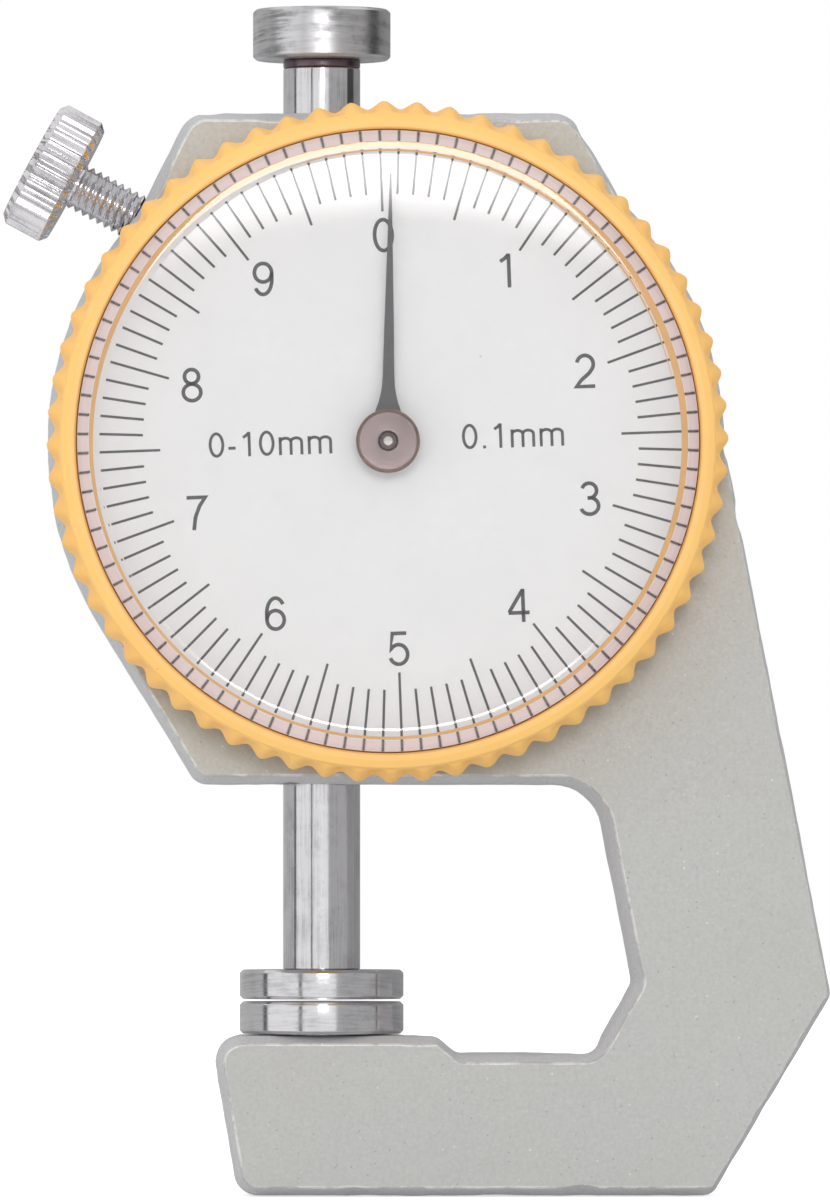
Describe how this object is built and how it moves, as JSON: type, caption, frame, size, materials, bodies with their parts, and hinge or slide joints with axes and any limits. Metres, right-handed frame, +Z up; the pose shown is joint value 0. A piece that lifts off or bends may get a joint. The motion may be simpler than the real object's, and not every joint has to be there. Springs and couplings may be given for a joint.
{
  "type": "dial thickness gauge",
  "caption": "Pocket dial thickness gauge: cast C-frame with flat anvil, spring plunger with flat tip and thumb button, lock screw, and an orange-bezel dial turned by a rack.",
  "frame": {"origin": "on the surface that the gauge stands on, at the foot of the plunger's axis, in the middle of the casting's thickness", "axes": "+Z up along the plunger's axis, the dial looks to -Y and the rear cover to +Y, +X from the anvil towards the back of the throat"},
  "size_m": [0.0504, 0.0173, 0.0724],
  "materials": {
    "cast_alloy": "satin",
    "ground_steel": "satin",
    "cover_steel": "satin",
    "screw_steel": "satin",
    "spring_steel": "satin",
    "lock_steel": "satin",
    "brass": "satin",
    "pointer_grey": "satin",
    "hub_alloy": "satin",
    "bezel_orange": "satin",
    "dial_white": "matte",
    "crystal_clear": "gloss"
  },
  "bodies": {
    "frame": {"frame_casting": "cast_alloy", "anvil_disc": "ground_steel", "lower_bush": "brass", "upper_bush": "brass", "guide_plate": "brass", "spring_post": "ground_steel", "return_spring": "spring_steel", "rear_cover": "cover_steel", "movement_bridge": "brass", "rear_cover_screw_1": "screw_steel", "rear_cover_screw_2": "screw_steel", "rear_cover_screw_3": "screw_steel", "rear_cover_screw_4": "screw_steel", "bridge_pillar_1": "brass", "bridge_pillar_2": "brass", "bridge_screw_1": "ground_steel", "bridge_screw_2": "ground_steel", "bezel_snap_ring": "spring_steel", "front_bearing": "brass", "hairspring": "spring_steel", "hairspring_stud": "brass"},
    "spindle": {"spindle_rod": "ground_steel", "contact_disc": "ground_steel", "top_button": "ground_steel", "button_washer": "screw_steel", "guide_pin": "ground_steel"},
    "pointer_arbor": {"pinion_arbor": "ground_steel", "hairspring_collet": "brass", "pointer": "pointer_grey", "pointer_hub": "hub_alloy"},
    "bezel": {"bezel_ring": "bezel_orange", "dial_plate": "dial_white", "crystal": "crystal_clear"},
    "lock_pad": {"lock_pad": "brass"},
    "lock_screw": {"lock_screw_head": "lock_steel", "lock_screw_stud": "lock_steel"}
  },
  "joints": [
    {"name": "spindle_slide", "type": "slide", "parent": "frame", "child": "spindle", "axis": [0, 0, 1], "range_m": [0, 0.01], "stiffness_N_per_m": 50, "springref_m": -0.01, "deforming": ["return_spring"]},
    {"name": "pointer_turn", "type": "hinge", "parent": "frame", "child": "pointer_arbor", "pos_m": [0.00387, 0, 0.04568], "axis": [0, 1, 0], "range_deg": [-2, 362], "deforming": ["hairspring"]},
    {"name": "bezel_turn", "type": "hinge", "parent": "frame", "child": "bezel", "pos_m": [0.00387, 0, 0.04568], "axis": [0, 1, 0], "continuous": true},
    {"name": "lock_pad_slide", "type": "slide", "parent": "frame", "child": "lock_pad", "axis": [0.8788, 0, -0.4772], "range_m": [-0.0015, 0.0005]},
    {"name": "lock_screw_turn", "type": "hinge", "parent": "lock_pad", "child": "lock_screw", "pos_m": [0, 0, 0.05348], "axis": [0.8788, 0, -0.4772], "range_deg": [-1085, 365]}
  ],
  "couplings": [
    {"joint": "pointer_turn", "follows": "spindle_slide", "rad_per_m": 628.32},
    {"joint": "lock_screw_turn", "follows": "lock_pad_slide", "rad_per_m": 12566}
  ]
}
